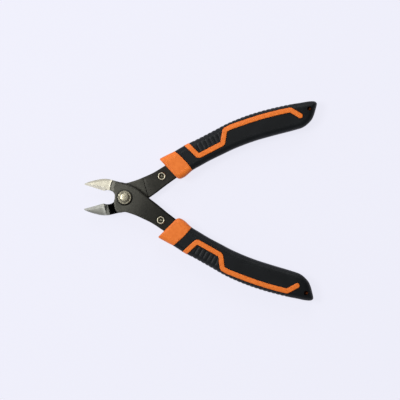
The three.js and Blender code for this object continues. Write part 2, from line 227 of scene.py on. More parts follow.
def inside(points, loop):
    """Which points lie inside a closed outline."""
    a, b = loop, np.roll(loop, -1, axis=0)
    result = np.zeros(len(points), bool)
    for low in range(0, len(points), 1500):
        x = points[low:low + 1500, 0][:, None]
        y = points[low:low + 1500, 1][:, None]
        crosses = (a[:, 1] > y) != (b[:, 1] > y)
        rise = np.where(b[:, 1] == a[:, 1], 1, b[:, 1] - a[:, 1])
        at = a[:, 0] + (y - a[:, 1]) * (b[:, 0] - a[:, 0]) / rise
        result[low:low + 1500] = (crosses & (x < at)).sum(1) % 2 == 1
    return result


def outside_of(points, loop):
    """Distance from each point to a closed outline, negative inside it."""
    return distance_to(points, closed(loop)) * np.where(inside(points, loop), -1, 1)


def fillet(distance, radius):
    """How far a rounded edge has dropped at this distance inside it."""
    left = radius - np.clip(distance, 0, radius)
    return radius - np.sqrt(radius**2 - left**2)


def ramp(value, start, end):
    """0 before start, 1 after end, and a straight slope between them."""
    return np.clip((value - start) / (end - start), 0, 1)


def stroke(line, half, grow=0.0):
    """The outline of an even band along a line, round outside its bends and at its far end, or a line at a
    distance around that outline."""
    wide = half + grow
    line = np.asarray(line, float)
    unit = np.diff(line, axis=0)
    unit /= np.linalg.norm(unit, axis=1)[:, None]
    sides = []
    for sign in (1, -1):
        normal = sign * np.column_stack([-unit[:, 1], unit[:, 0]])
        side = [line[0] + wide * normal[0]]
        for k in range(1, len(line) - 1):
            before, after = normal[k - 1], normal[k]
            turn = sign * (unit[k - 1][0] * unit[k][1] - unit[k - 1][1] * unit[k][0])
            middle = before + after
            corner = middle * 2 / (middle @ middle)
            if turn > -0.3:
                side.append(line[k] + wide * corner)
            else:
                for t in np.linspace(0, 1, 9):
                    blend = before * (1 - t) + after * t
                    side.append(line[k] - half * corner + (half + wide) * blend / np.linalg.norm(blend))
        side.append(line[-1] + wide * normal[-1])
        sides.append(side)
    forward = unit[-1]
    across = np.array([-forward[1], forward[0]])
    cap = [line[-1] + wide * (math.cos(a) * across + math.sin(a) * forward)
           for a in np.linspace(0, np.pi, 14)[1:-1]]
    start = np.linspace(sides[1][0], sides[0][0], 14)[:-1]
    around = subdivided(np.vstack([sides[0], cap, sides[1][::-1]]), OUTLINE_STEP)[:-1]
    return turned_ccw(np.vstack([start, around]))


# ---- bodies with one height over and one under each point of a plan ----


def plan(outline, rings, holes=(), creases=(), grid=0.6, extra=()):
    """Triangles over an outline, with rows of points at the rings' distances from its edges and lines along
    its creases."""
    outline = turned_ccw(outline)
    holes = [turned_ccw(h)[::-1] for h in holes]
    creases = [subdivided(line, OUTLINE_STEP) for line in creases]
    loops = [outline, *holes]
    edges_of = [closed(loop) for loop in loops]

    def clearance(points):
        return np.min([distance_to(points, line) for line in edges_of], axis=0)

    cloud = []
    for loop in loops:
        ahead = np.roll(loop, -1, axis=0) - loop
        ahead /= np.linalg.norm(ahead, axis=1)[:, None]
        mean = ahead + np.roll(ahead, 1, axis=0)
        mean /= np.linalg.norm(mean, axis=1)[:, None]
        inward = np.column_stack([-mean[:, 1], mean[:, 0]])
        for depth in rings:
            row = loop + depth * inward
            cloud.append(row[clearance(row) > 0.97 * depth])
    low, high = outline.min(0), outline.max(0)
    rows = np.arange(low[1], high[1], grid * math.sqrt(0.75))
    lattice = np.array([(x, y) for k, y in enumerate(rows)
                        for x in np.arange(low[0] + (k % 2) * grid / 2, high[0], grid)])
    lattice = lattice[clearance(lattice) > max(rings) + 0.5 * grid]
    cloud.append(lattice)
    cloud.extend(extra)
    points = np.vstack(cloud)
    keep = inside(points, outline)
    for hole in holes:
        keep &= ~inside(points, hole)
    for line in creases:
        keep &= distance_to(points, line) > 0.03
    points = points[keep]
    coords = list(points)
    edges = []
    for line in [*edges_of, *creases]:
        first = len(coords)
        coords.extend(line)
        edges.extend((first + k, first + k + 1) for k in range(len(line) - 1))
    made = delaunay_2d_cdt([Vector(c) for c in coords], edges, [], 0, 1e-4, False)
    xy = np.array([tuple(v) for v in made[0]])
    triangles = np.array([f for f in made[2] if len(f) == 3])
    middle = xy[triangles].mean(1)
    keep = inside(middle, outline)
    for hole in holes:
        keep &= ~inside(middle, hole)
    triangles = triangles[keep]
    a, b, c = (xy[triangles[:, k]] for k in range(3))
    area = (b[:, 0] - a[:, 0]) * (c[:, 1] - a[:, 1]) - (b[:, 1] - a[:, 1]) * (c[:, 0] - a[:, 0])
    triangles[area < 0] = triangles[area < 0][:, ::-1]
    used, renumbered = np.unique(triangles, return_inverse=True)
    return xy[used], renumbered.reshape(-1, 3)


def rim_edges(triangles):
    """The plan's outer edges, each with the plan on its left."""
    sides = np.vstack([triangles[:, [0, 1]], triangles[:, [1, 2]], triangles[:, [2, 0]]])
    known = {tuple(e) for e in sides.tolist()}
    return [e for e in known if (e[1], e[0]) not in known]


def place(points, side):
    """Points of the closed rear half, in millimetres, as the points of either half in the shared frame."""
    pivot = Vector(frame["joints"][0]["pos_m"])
    turn = Matrix.Rotation(math.radians(HALF_OPENING if side == "rear" else -HALF_OPENING), 4, "Z")
    if side == "front":
        turn = turn @ Matrix.Rotation(math.pi, 4, "X")
    matrix = np.array(Matrix.Translation(pivot) @ turn @ Matrix.Scale(MM, 4))
    return points @ matrix[:3, :3].T + matrix[:3, 3]


def mesh_object(name, points, faces, side=None, attributes=None, materials=(), face_materials=None, sharp=32):
    """A smooth mesh in the scene. With a side its points are the closed rear half's, in millimetres, and
    without one they are the shared frame's. Edges sharper than the angle stay crisp."""
    if side:
        points = place(points, side)
    mesh = bpy.data.meshes.new(name)
    mesh.from_pydata(points.tolist(), [], [list(map(int, f)) for f in faces])
    for key, values in (attributes or {}).items():
        layer = mesh.attributes.new(key, "FLOAT", "POINT")
        layer.data.foreach_set("value", np.asarray(values, np.float32))
    for material in materials:
        mesh.materials.append(material)
    if face_materials is not None:
        mesh.polygons.foreach_set("material_index", np.asarray(face_materials, np.int32))
    mesh.polygons.foreach_set("use_smooth", np.ones(len(mesh.polygons), bool))
    mesh.set_sharp_from_angle(angle=math.radians(sharp))
    mesh.validate()
    mesh.update()
    obj = bpy.data.objects.new(name, mesh)
    bpy.context.scene.collection.objects.link(obj)
    return obj


def two_sided(xy, triangles, top, bottom):
    """Points and faces of the closed body between two heights over a plan."""
    count = len(xy)
    points = np.vstack([np.column_stack([xy, top]), np.column_stack([xy, bottom])])
    walls = [(a + count, b + count, b, a) for a, b in rim_edges(triangles)]
    faces = [*triangles.tolist(), *(triangles[:, ::-1] + count).tolist(), *walls]
    return points, faces


# ---- materials ----


class Nodes:
    """Short calls for building a material's node tree."""

    def __init__(self, name):
        self.material = bpy.data.materials.new(name)
        self.material.use_nodes = True
        self.tree = self.material.node_tree
        self.shader = self.tree.nodes["Principled BSDF"]

    def add(self, kind, inputs=None, **settings):
        node = self.tree.nodes.new(kind)
        for key, value in settings.items():
            setattr(node, key, value)
        for key, value in (inputs or {}).items():
            if isinstance(value, bpy.types.NodeSocket):
                self.tree.links.new(value, node.inputs[key])
            else:
                node.inputs[key].default_value = value
        return node

    def spot(self):
        return self.add("ShaderNodeTexCoord").outputs["Object"]

    def turned(self, degrees, stretch):
        """Object coordinates turned about Z, then scaled along each axis."""
        mapping = self.add("ShaderNodeMapping", {"Vector": self.spot()}, vector_type="TEXTURE")
        mapping.inputs["Rotation"].default_value = (0, 0, math.radians(degrees))
        mapping.inputs["Scale"].default_value = stretch
        return mapping.outputs["Vector"]

    def noise(self, size_mm, detail=3.0, vector=None, roughness=0.55):
        made = self.add("ShaderNodeTexNoise", {"Vector": vector or self.spot(), "Scale": 1 / (size_mm * MM),
                                               "Detail": detail, "Roughness": roughness})
        return made.outputs["Fac"]

    def attribute(self, name):
        return self.add("ShaderNodeAttribute", attribute_name=name).outputs["Fac"]

    def levels(self, value, low, high, to_low=0.0, to_high=1.0):
        made = self.add("ShaderNodeMapRange", {"Value": value, "From Min": low, "From Max": high,
                                               "To Min": to_low, "To Max": to_high}, clamp=True)
        return made.outputs["Result"]

    def maths(self, operation, a, b):
        return self.add("ShaderNodeMath", {0: a, 1: b}, operation=operation).outputs[0]

    def mix(self, factor, a, b, blend_type="MIX"):
        made = self.add("ShaderNodeMix", data_type="RGBA", blend_type=blend_type)
        for index, value in ((0, factor), (6, a), (7, b)):
            if isinstance(value, bpy.types.NodeSocket):
                self.tree.links.new(value, made.inputs[index])
            else:
                made.inputs[index].default_value = value
        return made.outputs[2]

    def bump(self, height, depth_mm, under=None):
        inputs = {"Height": height, "Distance": depth_mm * MM, "Strength": 1.0}
        if under is not None:
            inputs["Normal"] = under
        return self.add("ShaderNodeBump", inputs).outputs["Normal"]

    def finish(self, **inputs):
        for key, value in inputs.items():
            socket = self.shader.inputs[key.replace("_", " ")]
            if isinstance(value, bpy.types.NodeSocket):
                self.tree.links.new(value, socket)
            else:
                socket.default_value = value
        return self.material


def srgb(red, green, blue):
    """A colour given as screen values from 0 to 255, in linear light."""
    def linear(value):
        value /= 255
        return value / 12.92 if value <= 0.04045 else ((value + 0.055) / 1.055) ** 2.4
    return (linear(red), linear(green), linear(blue), 1.0)


def blackened_steel(name):
    n = Nodes(name)
    blotch = n.noise(5.0, 4)
    grain = n.noise(0.22, 2)
    painted_shading = n.attribute("painted_shading")
    base = n.mix(n.levels(blotch, 0.35, 0.65), srgb(66, 66, 59), srgb(80, 79, 71))
    base = n.mix(n.levels(grain, 0.3, 0.75, 0.0, 0.3), base, srgb(98, 97, 88))
    base = n.mix(n.levels(n.noise(0.9, 4), 0.4, 0.65, 0.0, 0.35), base, srgb(52, 51, 44))
    base = n.mix(n.levels(n.noise(0.6, 3), 0.5, 0.7, 0.0, 0.3), base, srgb(108, 107, 94))
    # Painted shade: the per-point shading darkens the blued steel towards black and dims its metal reflection
    # with it.
    shade_darkened = n.mix(painted_shading, srgb(2, 2, 2), base)
    scuff = n.maths("MULTIPLY", n.attribute("wear"), n.levels(n.noise(0.8, 4), 0.35, 0.6, 0.35, 1.0))
    colour = n.mix(scuff, shade_darkened, srgb(150, 146, 132))
    normal = n.bump(n.noise(0.14, 2), 0.012)
    normal = n.bump(n.noise(1.6, 2), 0.02, normal)
    return n.finish(Base_Color=colour, Metallic=n.maths("MULTIPLY", painted_shading, 0.55),
                    Specular_IOR_Level=n.maths("MULTIPLY", painted_shading, 0.4),
                    Roughness=n.levels(grain, 0.3, 0.7, 0.42, 0.58), Normal=normal)


def ground_steel(name, face, bevel_highlight, metallic, angle):
    """Ground jaw steel: a painted highlight makes the bevels and heel brighter than the broad faces, and
    painted shade darkens the root.
    """
    n = Nodes(name)
    lines = n.noise(0.16, 2, n.turned(angle, (1, 30, 30)))
    haze = n.noise(2.5, 3)
    colour = n.mix(n.attribute("painted_highlight"), srgb(*face), srgb(*bevel_highlight))
    colour = n.mix(n.levels(lines, 0.3, 0.7, 0.0, 0.22), colour, srgb(96, 94, 86))
    colour = n.mix(n.levels(haze, 0.35, 0.7, 0.0, 0.15), colour, srgb(96, 94, 86))
    # Painted shade at the jaw's root, from the per-point shading.
    colour = n.mix(n.attribute("painted_shading"), srgb(12, 12, 10), colour)
    normal = n.bump(lines, 0.005)
    return n.finish(Base_Color=colour, Metallic=metallic, Roughness=n.levels(haze, 0.3, 0.7, 0.44, 0.54),
                    Normal=normal)


def turned_steel(name, tint, roughness):
    n = Nodes(name)
    spots = n.noise(0.7, 4)
    colour = n.mix(n.levels(spots, 0.42, 0.62, 0.0, 1.0), srgb(*tint), srgb(*[v * 0.78 for v in tint]))
    colour = n.mix(n.attribute("shade"), colour, srgb(26, 25, 22))
    normal = n.bump(n.noise(0.35, 4), 0.04)
    rough = n.levels(spots, 0.3, 0.7, roughness - 0.06, roughness + 0.08)
    return n.finish(Base_Color=colour, Metallic=0.95, Roughness=rough, Normal=normal)


def orange_plastic(name):
    n = Nodes(name)
    mottle = n.noise(1.8, 5)
    colour = n.mix(n.levels(mottle, 0.3, 0.7), srgb(229, 115, 36), srgb(242, 128, 47))
    scuffed = n.mix(n.maths("MULTIPLY", n.attribute("wear"), 0.35), colour, srgb(196, 86, 34))
    shaded = n.mix(n.attribute("shade"), scuffed, srgb(52, 16, 10))
    normal = n.bump(n.noise(0.25, 3), 0.01)
    rough = n.levels(mottle, 0.3, 0.7, 0.42, 0.52)
    return n.finish(Base_Color=shaded, Specular_IOR_Level=0.28, Roughness=rough, Normal=normal)


def black_overmould(name):
    n = Nodes(name)
    cloud = n.noise(6.0, 3)
    pores = n.noise(0.2, 2)
    colour = n.mix(n.levels(cloud, 0.35, 0.65), srgb(11, 14, 16), srgb(17, 20, 22))
    colour = n.mix(n.maths("MULTIPLY", n.attribute("wear"), n.levels(n.noise(0.7, 3), 0.3, 0.7, 0.4, 1.0)),
                   colour, srgb(58, 62, 64))
    normal = n.bump(pores, 0.02)
    rough = n.levels(pores, 0.3, 0.7, 0.42, 0.54)
    return n.finish(Base_Color=colour, Specular_IOR_Level=0.2, Roughness=rough, Normal=normal)


def floor_paper(name):
    n = Nodes(name)
    fibre = n.noise(0.8, 3)
    colour = n.mix(n.levels(fibre, 0.3, 0.7), srgb(78, 78, 82), srgb(82, 82, 86))
    return n.finish(Base_Color=colour, Roughness=0.95, Specular_IOR_Level=0.0,
                    Emission_Color=(0.9, 0.9, 1.0, 1), Emission_Strength=0.88)


STEEL = blackened_steel("blackened_steel")
# The front jaw's steel is painted lighter and the rear jaw's darker: lit and shaded copies of one ground
# steel.
JAW_STEEL = {
    "front": ground_steel("ground_steel_front_lit", (196, 191, 171), (255, 250, 228), 0.35, -HALF_OPENING),
    "rear": ground_steel("ground_steel_rear_shaded", (167, 168, 158), (206, 207, 196), 0.6, HALF_OPENING),
}
RIVET_STEEL = turned_steel("rivet_steel", (206, 200, 174), 0.36)
SPRING_STEEL = turned_steel("spring_steel", (150, 152, 154), 0.32)
ORANGE = orange_plastic("orange_plastic")
BLACK = black_overmould("black_overmould")


# ---- lever ----

JAW_BACK_LINE = smooth(JAW_BACK)
LAP_LINES = [smooth(LAP_LOWER), smooth(LAP_UPPER), smooth(EAR), smooth(THROAT)]


def tang_edges():
    """Both edges of the tang, from the shank to its end inside the grip."""
    line = resample(smooth(TANG_LINE), 1.5)
    ahead = np.gradient(line, axis=0)
    ahead /= np.linalg.norm(ahead, axis=1)[:, None]
    across = np.column_stack([-ahead[:, 1], ahead[:, 0]])
    half = np.linspace(*TANG_HALF_WIDTH, len(line))[:, None]
    return line - half * across, line + half * across


def lever_outline():
    lower, upper = tang_edges()
    cutting_edge = [(JAW_HEEL, -EDGE_CLEARANCE), (JAW_TIP, -EDGE_CLEARANCE)]
    ear_corner = [LAP_UPPER[-1], EAR[0]]
    tang = np.vstack([[LAP_LOWER[-1]], lower[1:], upper[:0:-1], [LAP_UPPER[0]]])
    return loop_of(LEVER_STEP, JAW_BACK_LINE, LAP_LINES[0], tang, LAP_LINES[1], ear_corner, LAP_LINES[2],
                   LAP_LINES[3], cutting_edge)


def plate_edge_line():
    """The whole outline except the jaw's back and cutting edge."""
    outline = lever_outline()
    jaw = outline[:, 0] < JAW_HEEL + 0.4
    return np.roll(outline, -int(np.argmax(~jaw)), axis=0)[: int((~jaw).sum())]


def jaw_half(x):
    """Half thickness of the ground jaw, which thins towards its tip."""
    return np.interp(x, [JAW_TIP, -8.5], [JAW_HALF_TIP, JAW_HALF_ROOT])


def bevel(x, y):
    """Height of the cutting bevel, which stops at the heel."""
    slope = math.tan(math.radians(BEVEL_ANGLE))
    run_out = 3 * ramp(x, JAW_HEEL - 0.4, JAW_HEEL + 2.2) ** 2
    return EDGE_LAND + np.clip(-y - EDGE_CLEARANCE, 0, None) * slope + run_out


def bevel_top(x):
    """The line where the bevel meets the jaw's broad face."""
    return -EDGE_CLEARANCE - jaw_half(x) / math.tan(math.radians(BEVEL_ANGLE))


def root_lines(y):
    """Where the jaw's inner face ends, where the facet under it ends, and where the neck's floor starts."""
    across = np.clip(-y / 6.4, 0, 1)
    floor_start = -8.85 - 0.6 * across
    facet_end = np.minimum(-9.3 - 2.2 * across, floor_start - 0.25)
    return np.full_like(y, -11.1), np.maximum(facet_end, -11.0), floor_start


def step_line(y):
    """The bowed line where the ground jaw meets the lap on the outer face."""
    return -8.45 + 0.07 * (np.clip(y, -7, 0) + 4.4) ** 2


def neck_line(function, offset=0.0):
    """A line across the lever at the X that a function of Y gives."""
    y = np.linspace(-7.2, 0.6, 24)
    return np.column_stack([function(y) + offset, y])


def painted_lever_shading(xy):
    """Painted shading of the outer and of the inner face, standing in for light that falls off along the
    lever:
    lightest at the head and darkest where the shank enters the grip, less so on the inner face."""
    outer = np.interp(xy[:, 0], [0, 6, 10, 16, 24], [1.0, 0.66, 0.42, 0.28, 0.23])
    inner = np.interp(xy[:, 0], [8, 10, 12, 16, 24], [0.9, 0.75, 0.52, 0.38, 0.36])
    return outer * painted_edge_shadow(xy), inner * painted_edge_shadow(xy)


def painted_edge_shadow(xy):
    """1 over most of a lever's face, falling to a black painted shadow along the edge that faces the other
    handle, and to painted shade close round the shank rivet."""
    inner_edge = np.vstack([LAP_LINES[0], tang_edges()[0][1:]])
    beside = ramp(distance_to(xy, inner_edge), 0.4, 0.75)
    beside = np.where(xy[:, 0] < -8, 1, np.maximum(beside, ramp(-xy[:, 0], 4, 8)))
    rivet = ramp(np.hypot(*(xy - SHANK_RIVET).T), 2.05, 2.6)
    return (0.15 + 0.85 * beside) * (0.45 + 0.55 * rivet)


def lever_heights(xy):
    """Heights of the inner face, which faces the other half, and of the outer face."""
    x, y = xy.T
    back = fillet(distance_to(xy, JAW_BACK_LINE), np.minimum(JAW_BACK_R, 0.7 * jaw_half(x)))
    plate_drop = fillet(distance_to(xy, plate_edge_line()), PLATE_EDGE_R)
    radius = np.hypot(x, y)
    jaw = np.minimum(jaw_half(x) - back, bevel(x, y))

    face_end, facet_end, floor_start = root_lines(y)
    lap_top = -LAP_INNER - plate_drop
    facet = ramp(x, face_end, facet_end)
    shelf = ramp(x, facet_end, floor_start)
    inner_jaw = jaw - CROWN_DROP * ramp(-y, 0.8, 6.5) ** 1.5
    high = inner_jaw * (1 - facet) + np.minimum(SHELF_HEIGHT, inner_jaw) * facet
    top = np.where(x < floor_start, high - 0.35 * shelf, lap_top)
    beyond_inner = ramp(radius, POCKET_R[0] - WALL_RAMP, POCKET_R[0])
    within_outer = ramp(-radius, -POCKET_R[1] - WALL_RAMP, -POCKET_R[1])
    top -= beyond_inner * within_outer * POCKET_DEPTH
    seat = -LAP_INNER - TANG_PLATE_THICKNESS - 0.2
    behind_seam = ramp(x, SEAM - SEAM_HALF_WIDTH, SEAM - SEAM_HALF_WIDTH + WALL_RAMP)
    top = top * (1 - behind_seam) + seat * behind_seam

    outer = -LAP_OUTER + plate_drop
    step = step_line(y)
    slopes = np.interp(x - step, STEP_BENDS, STEP_HEIGHTS)
    ground = np.where(x < step + STEP_BENDS[0], jaw_half(x), slopes)
    bottom = np.maximum(outer, -ground)
    jaw_bottom = np.maximum(bottom, -np.minimum(ground - back, bevel(x, y)))
    bottom = np.where(x < step + STEP_BENDS[-1], jaw_bottom, bottom)
    bottom += HEAD_SEAT_DEPTH * ramp(-radius, -HEAD_SEAT_R, -HEAD_SEAT_R + WALL_RAMP)
    return np.maximum(top, bottom + 0.05), bottom


def lever_creases():
    """Lines where the lever's faces change slope, for its plan."""
    lines = [neck_line(lambda y, k=k: root_lines(y)[k]) for k in (0, 1)]
    lines += [neck_line(lambda y: root_lines(y)[2], offset) for offset in (-0.01, WALL_RAMP)]
    lines += [neck_line(step_line, offset) for offset in STEP_BENDS]
    lines += [np.array([(SEAM - SEAM_HALF_WIDTH + w, y) for y in (-6, 10)]) for w in (0, WALL_RAMP)]
    for radius in (POCKET_R[0] - WALL_RAMP, POCKET_R[0], HEAD_SEAT_R - WALL_RAMP, HEAD_SEAT_R, POCKET_R[1],
                   POCKET_R[1] + WALL_RAMP):
        lines.append(closed(circle((0, 0), radius, 64)))
    for offset in (0, -0.07):
        lines.append(np.array([(x, bevel_top(x) + offset) for x in (JAW_TIP + 1.2, JAW_HEEL - 0.4)]))
    return lines


def lever_attributes(xy, outline):
    """Where the steel is worn, the painted shading on the steel and the painted highlight on the jaw, top
    face first.
    """
    x, y = xy.T
    radius = np.hypot(x, y)
    past_step = x - step_line(y)
    edge = np.exp(-distance_to(xy, closed(outline)) / 0.16)
    strip = ramp(x, step_line(y) - 0.1, step_line(y)) * ramp(-x, -step_line(y) - 1.75, -step_line(y) - 1.65)
    wear_top = 0.12 * edge * (x > -9)
    wear_bottom = np.maximum(0.12 * edge, 0.1 * strip)

    shade_bottom, shade_top = painted_lever_shading(xy)
    face_end, facet_end, _ = root_lines(y)
    # Painted shade: the neck floor between the laps goes black, and the steep facet under the jaw's face
    # darker.
    neck = ramp(x, -9.3, -9.1) * ramp(-x, -SEAM + 9.5, -SEAM + 11.5)
    facet_shade = 0.3 + 0.3 * ramp(-y, 1.5, 5)
    root_shade = np.where(x < face_end + 0.02, 1, np.where(x < facet_end + 0.02, facet_shade, 0.95))
    shade_top *= (1 - neck) * root_shade
    # A thin painted shadow line along the outer step.
    shade_bottom *= np.where(np.abs(past_step - 0.1) < 0.15, 0.4, 1)
    # A painted shadow in the head's seat, darkest on the side away from the key lamp.
    shaded_side = (0.8 * x + 0.6 * y) / radius
    in_seat = ramp(-radius, -HEAD_SEAT_R, -HEAD_SEAT_R + WALL_RAMP)
    shade_bottom *= 1 - (0.6 + 0.35 * shaded_side) * in_seat

    # Painted highlight on the bevels and on a band before the heel of each face.
    on_bevel = (y > bevel_top(x) - 0.02) & (x < JAW_HEEL + 0.3)
    heel_top = ramp(x, face_end - 1.4, face_end - 0.6) * (x < face_end + 0.02)
    heel_bottom = ramp(x, step_line(y) - 1.2, step_line(y) - 0.4) * (x < step_line(y) - 0.2)
    painted_highlight = [np.maximum(on_bevel, heel_top), np.maximum(on_bevel, 0.5 * heel_bottom)]
    return {"wear": np.concatenate([wear_top, wear_bottom]), "painted_shading": np.concatenate([shade_top, shade_bottom]),
            "painted_highlight": np.concatenate(painted_highlight)}


def ground_faces(points, faces, triangles):
    """Which faces of the lever are bare ground steel rather than blackened."""
    corners = np.array([face[:3] for face in faces])
    x, y, _ = points[corners].mean(1).T
    number = np.arange(len(faces))
    on_face = np.where(number < len(triangles), x < root_lines(y)[2], x < step_line(y) - 0.02)
    return np.where(number >= 2 * len(triangles), x < -9.3, on_face)


def lever(side):
    """One forging: jaw, lap, shank and the tang inside the grip."""
    outline = lever_outline()
    holes = [circle((0, 0), PIVOT_HOLE_R), circle(SHANK_RIVET, SHANK_RIVET_HOLE_R)]
    xy, triangles = plan(outline, (0.04, 0.12, 0.28, 0.6, 1.1), holes, lever_creases())
    points, faces = two_sided(xy, triangles, *lever_heights(xy))
    obj = mesh_object(f"{side}_lever_forging", points, faces, side, lever_attributes(xy, outline),
                      (STEEL, JAW_STEEL[side]), ground_faces(points, faces, triangles))
    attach(obj, f"{side}_half")
    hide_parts(f"{side}_lever")


def clipped(loop, limit):
    """The part of a closed outline whose X is over a limit."""
    result = []
    for a, b in zip(loop, np.roll(loop, -1, axis=0)):
        if a[0] >= limit:
            result.append(a)
        if (a[0] >= limit) != (b[0] >= limit):
            result.append(a + (b - a) * (limit - a[0]) / (b[0] - a[0]))
    return np.array(result)


def tang_plate(side):
    """The flush strip behind the seam, which runs on into the grip."""
    outline = clipped(lever_outline(), SEAM + SEAM_HALF_WIDTH)
    hole = circle(SHANK_RIVET, SHANK_RIVET_HOLE_R)
    xy, triangles = plan(outline, (0.03, 0.1, 0.22, 0.4, 0.75), [hole], grid=0.9)
    edge = distance_to(xy, closed(outline))
    top = -LAP_INNER - fillet(edge, 0.16)
    bottom = np.full(len(xy), -LAP_INNER - TANG_PLATE_THICKNESS)
    points, faces = two_sided(xy, triangles, top, bottom)
    wear = np.tile(0.1 * np.exp(-edge / 0.14), 2)
    # Painted shading carried on from the lever's inner face.
    painted_shading = np.tile(painted_lever_shading(xy)[1], 2)
    obj = mesh_object(f"{side}_tang_strip", points, faces, side, {"wear": wear, "painted_shading": painted_shading}, (STEEL,))
    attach(obj, f"{side}_half")
    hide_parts(f"{side}_tang_plate")


# ---- rivets and spring ----


def lathe(profile, sides=64):
    """Points and faces of a turned body. The profile runs from axis to axis, each point [radius, height]."""
    angle = np.linspace(0, 2 * np.pi, sides, endpoint=False)
    points = [(0, 0, profile[0][1])]
    faces = []
    for radius, height in profile[1:-1]:
        points.extend((radius * math.cos(a), radius * math.sin(a), height) for a in angle)
    points.append((0, 0, profile[-1][1]))
    rows = len(profile) - 2
    for k in range(sides):
        ahead = (k + 1) % sides
        faces.append((0, 1 + ahead, 1 + k))
        for row in range(rows - 1):
            low, high = 1 + row * sides, 1 + (row + 1) * sides
            faces.append((low + k, low + ahead, high + ahead, high + k))
        last = 1 + (rows - 1) * sides
        faces.append((last + k, last + ahead, len(points) - 1))
    return np.array(points), faces


def rounded(profile, radius, steps=4):
    """The profile with each inner corner rounded."""
    p = np.asarray(profile, float)
    result = [p[0]]
    for before, corner, after in zip(p, p[1:], p[2:]):
        reach = [min(radius, 0.45 * np.linalg.norm(q - corner)) for q in (before, after)]
        start = corner + (before - corner) / np.linalg.norm(before - corner) * reach[0]
        end = corner + (after - corner) / np.linalg.norm(after - corner) * reach[1]
        for t in np.linspace(0, 1, steps + 1):
            result.append((1 - t) ** 2 * start + 2 * t * (1 - t) * corner + t**2 * end)
    return np.array([*result, p[-1]])


def pivot_rivet():
    """The headed rivet, from its peened end through both laps to its flange and dome."""
    seat = LAP_OUTER - HEAD_SEAT_DEPTH
    peened_end = [(0, -3.5), (2.2, -3.45), (3.1, -3.1), (3.1, -seat)]
    shaft = [(2.02, -seat), (2.02, seat)]
    flange = [(3.35, seat), (3.35, 3.08), (3.2, 3.2), (2.75, 3.2), (2.45, 3.2)]
    dome = [(2.3, 3.36), (2.0, 3.6), (1.6, 3.7), (0.8, 3.74), (0, 3.75)]
    points, faces = lathe(rounded([*peened_end, *shaft, *flange, *dome], 0.1))
    radius = np.hypot(points[:, 0], points[:, 1])
    height = points[:, 2]
    # Painted shade and reflection: light on the dome and the peened end, deepest in the ring where the dome
    # meets the flange, less over the flange and its rim, and deep on the hidden shank.
    crown = np.interp(radius, [0, 1.9, 2.4, 2.6, 3.2, 3.3], [0.16, 0.16, 0.6, 0.5, 0.45, 0.3])
    shade = np.where(np.abs(height) < seat + 0.12, 0.75, np.where(height > 0, crown, 0.1))
    obj = mesh_object("pivot_rivet_turned", points, faces, "rear", {"shade": shade}, (RIVET_STEEL,), sharp=50)
    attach(obj, "front_half")
    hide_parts("pivot_rivet")


def shank_rivet(side):
    """A hollow rivet. Each end's points are its radius and its depth under the rim's crest."""
    rim, dish = 0.34, 1.0
    low, high = -LAP_OUTER - 0.02 - rim, -LAP_INNER + 0.02 + rim
    end = [(0, dish - 0.35), (0.42, dish - 0.1), (0.55, dish), (1.05, dish), (1.28, 0.1), (1.45, 0), (1.8, 0),
           (2.0, rim - 0.1), (2.0, rim), (1.7, rim)]
    profile = [(radius, low + depth) for radius, depth in end]
    profile += [(radius, high - depth) for radius, depth in reversed(end)]
    points, faces = lathe(rounded(profile, 0.1, 3), 48)
    radius = np.hypot(points[:, 0], points[:, 1])
    sunk = np.minimum(np.abs(points[:, 2] - high), np.abs(points[:, 2] - low))
    # Painted shade darkens the rivet's hollow with depth, less at its middle, where a painted glint stays.
    shade = ramp(sunk, 0.1, 0.5) * np.where(radius > 0.45, 0.92, 0.45)
    points += (*SHANK_RIVET, 0)
    obj = mesh_object(f"{side}_shank_rivet_turned", points, faces, side, {"shade": shade}, (RIVET_STEEL,),
                      sharp=50)
    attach(obj, f"{side}_half")
    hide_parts(f"{side}_shank_rivet")


def spring_path():
    """The wire's middle line: rear hook, leg, coil, front leg and hook. Each half mirrors the other."""
    mean, rise = SPRING_MEAN_R, SPRING_RISE
    leg, hook = 6.2, 1.9
    leaves = 55 + HALF_OPENING
    start = math.radians(leaves)
    out = np.array([math.cos(start), math.sin(start)])
    along = np.array([math.sin(start), -math.cos(start)])
    rear = []
    for reach, height in ((leg, -hook), (leg, -rise - 0.5), (leg - 0.12, -rise - 0.2), (leg - 0.5, -rise),
                          (leg / 2, -rise)):
        rear.append((*(mean * out + reach * along), height))
    sweep = math.radians(720 - 2 * leaves)
    coil = [(mean * math.cos(start + sweep * t), mean * math.sin(start + sweep * t), rise * (2 * t - 1))
            for t in np.linspace(0, 1, 40)]
    front = [(x, -y, -z) for x, y, z in reversed(rear)]
    return smooth([*rear, *coil, *front], 4)


def spring():
    """The return spring: a round wire along its path between the two halves."""
    line = resample(spring_path(), 0.22)
    ahead = np.gradient(line, axis=0)
    ahead /= np.linalg.norm(ahead, axis=1)[:, None]
    sides = 14
    normal = np.cross(ahead[0], (0, 1, 0))
    points = []
    for spot, forward in zip(line, ahead):
        normal = normal - forward * (normal @ forward)
        normal /= np.linalg.norm(normal)
        binormal = np.cross(forward, normal)
        for a in np.linspace(0, 2 * np.pi, sides, endpoint=False):
            points.append(spot + SPRING_WIRE_R * (math.cos(a) * normal + math.sin(a) * binormal))
    faces = []
    for row in range(len(line) - 1):
        here, there = row * sides, (row + 1) * sides
        for k in range(sides):
            beside = (k + 1) % sides
            faces.append((here + k, here + beside, there + beside, there + k))
    faces.append(tuple(range(sides))[::-1])
    faces.append(tuple((len(line) - 1) * sides + k for k in range(sides)))
    pivot = np.array(frame["joints"][0]["pos_m"])
    points = np.array(points) * MM + pivot
    obj = mesh_object("return_spring_wire", points, faces, None, {"shade": np.zeros(len(points))},
                      (SPRING_STEEL,), sharp=60)
    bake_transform(obj)
    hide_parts("return_spring")


# ---- grip ----

